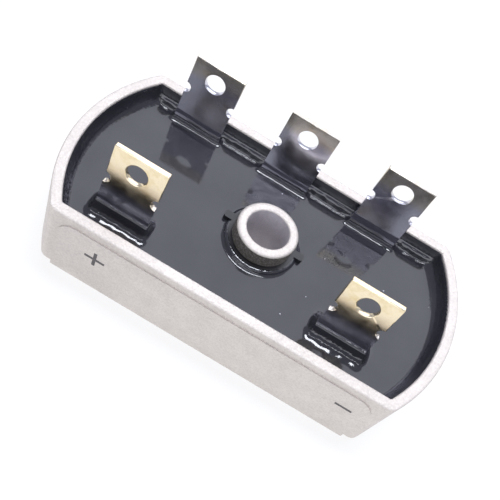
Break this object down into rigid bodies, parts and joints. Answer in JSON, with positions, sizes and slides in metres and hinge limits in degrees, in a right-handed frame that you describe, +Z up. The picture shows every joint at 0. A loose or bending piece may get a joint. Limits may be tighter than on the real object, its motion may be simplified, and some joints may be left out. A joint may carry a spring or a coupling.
{
  "type": "three phase bridge rectifier module",
  "caption": "Potted bridge rectifier in an oval aluminium tray with a central screw tube, upright AC blades along the rear and plus and minus blades along the front.",
  "frame": {"origin": "centre of the screw tube's bore in the flat mounting face", "axes": "+X along the length, +Z up the bore, -Y towards the side with the plus and minus blades"},
  "size_m": [0.068, 0.0344, 0.0247],
  "materials": {
    "cast_aluminium": "matte",
    "potting_compound": "gloss",
    "tinned_brass": "satin",
    "black_sleeve": "satin",
    "alumina": "matte",
    "silicon_die": "satin"
  },
  "bodies": {
    "root": {"case": "cast_aluminium", "tube_sleeve": "black_sleeve", "potting": "potting_compound", "ceramic_insulator": "alumina", "ac_terminal_1": "tinned_brass", "ac_terminal_2": "tinned_brass", "ac_terminal_3": "tinned_brass", "plus_bar_terminal": "tinned_brass", "minus_bar_terminal": "tinned_brass", "plus_die_1": "silicon_die", "minus_die_1": "silicon_die", "plus_die_2": "silicon_die", "minus_die_2": "silicon_die", "plus_die_3": "silicon_die", "minus_die_3": "silicon_die"}
  },
  "joints": []
}
